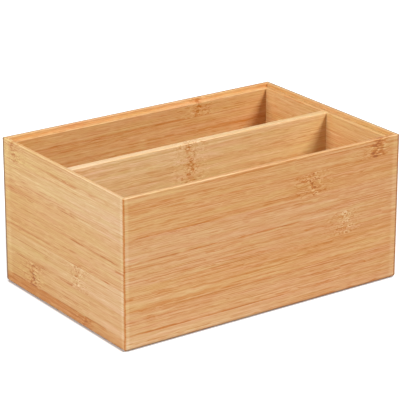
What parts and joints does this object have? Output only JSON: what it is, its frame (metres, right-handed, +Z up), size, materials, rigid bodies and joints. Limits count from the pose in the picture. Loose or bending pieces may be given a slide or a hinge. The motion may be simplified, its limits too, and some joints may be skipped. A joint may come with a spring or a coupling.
{
  "type": "storage box",
  "caption": "Open-top bamboo storage box with mitred corners, a rabbeted rim, a sunk base and a full-length divider.",
  "frame": {"origin": "middle of the footprint, on the surface that the box stands on", "axes": "+X along the box to the right, +Y from the front wall to the rear wall, +Z up"},
  "size_m": [0.3, 0.2, 0.14],
  "materials": {
    "front_bamboo": "flat-pressed bamboo strips, sanded, clear satin lacquer, grain along the wall",
    "rear_bamboo": "flat-pressed bamboo strips, sanded, clear satin lacquer, grain along the wall",
    "left_bamboo": "flat-pressed bamboo strips, sanded, clear satin lacquer, paler than the front",
    "right_bamboo": "flat-pressed bamboo strips, sanded, clear satin lacquer, grain along the wall",
    "divider_bamboo": "flat-pressed bamboo strips, sanded, clear satin lacquer, fine even grain",
    "base_bamboo": "flat-pressed bamboo strips, sanded, clear satin lacquer, grain along the box"
  },
  "bodies": {
    "root": {"front_wall_strip_1": "front_bamboo", "front_wall_strip_2": "front_bamboo", "front_wall_strip_3": "front_bamboo", "front_wall_strip_4": "front_bamboo", "front_wall_strip_5": "front_bamboo", "front_wall_strip_6": "front_bamboo", "front_wall_strip_7": "front_bamboo", "rear_wall_strip_1": "rear_bamboo", "rear_wall_strip_2": "rear_bamboo", "rear_wall_strip_3": "rear_bamboo", "rear_wall_strip_4": "rear_bamboo", "rear_wall_strip_5": "rear_bamboo", "rear_wall_strip_6": "rear_bamboo", "rear_wall_strip_7": "rear_bamboo", "left_wall_strip_1": "left_bamboo", "left_wall_strip_2": "left_bamboo", "left_wall_strip_3": "left_bamboo", "left_wall_strip_4": "left_bamboo", "left_wall_strip_5": "left_bamboo", "left_wall_strip_6": "left_bamboo", "left_wall_strip_7": "left_bamboo", "right_wall_strip_1": "right_bamboo", "right_wall_strip_2": "right_bamboo", "right_wall_strip_3": "right_bamboo", "right_wall_strip_4": "right_bamboo", "right_wall_strip_5": "right_bamboo", "right_wall_strip_6": "right_bamboo", "right_wall_strip_7": "right_bamboo", "divider_strip_1": "divider_bamboo", "divider_strip_2": "divider_bamboo", "divider_strip_3": "divider_bamboo", "divider_strip_4": "divider_bamboo", "divider_strip_5": "divider_bamboo", "divider_strip_6": "divider_bamboo", "base_strip_1": "base_bamboo", "base_strip_2": "base_bamboo", "base_strip_3": "base_bamboo", "base_strip_4": "base_bamboo", "base_strip_5": "base_bamboo", "base_strip_6": "base_bamboo", "base_strip_7": "base_bamboo", "base_strip_8": "base_bamboo", "base_strip_9": "base_bamboo"}
  },
  "joints": []
}
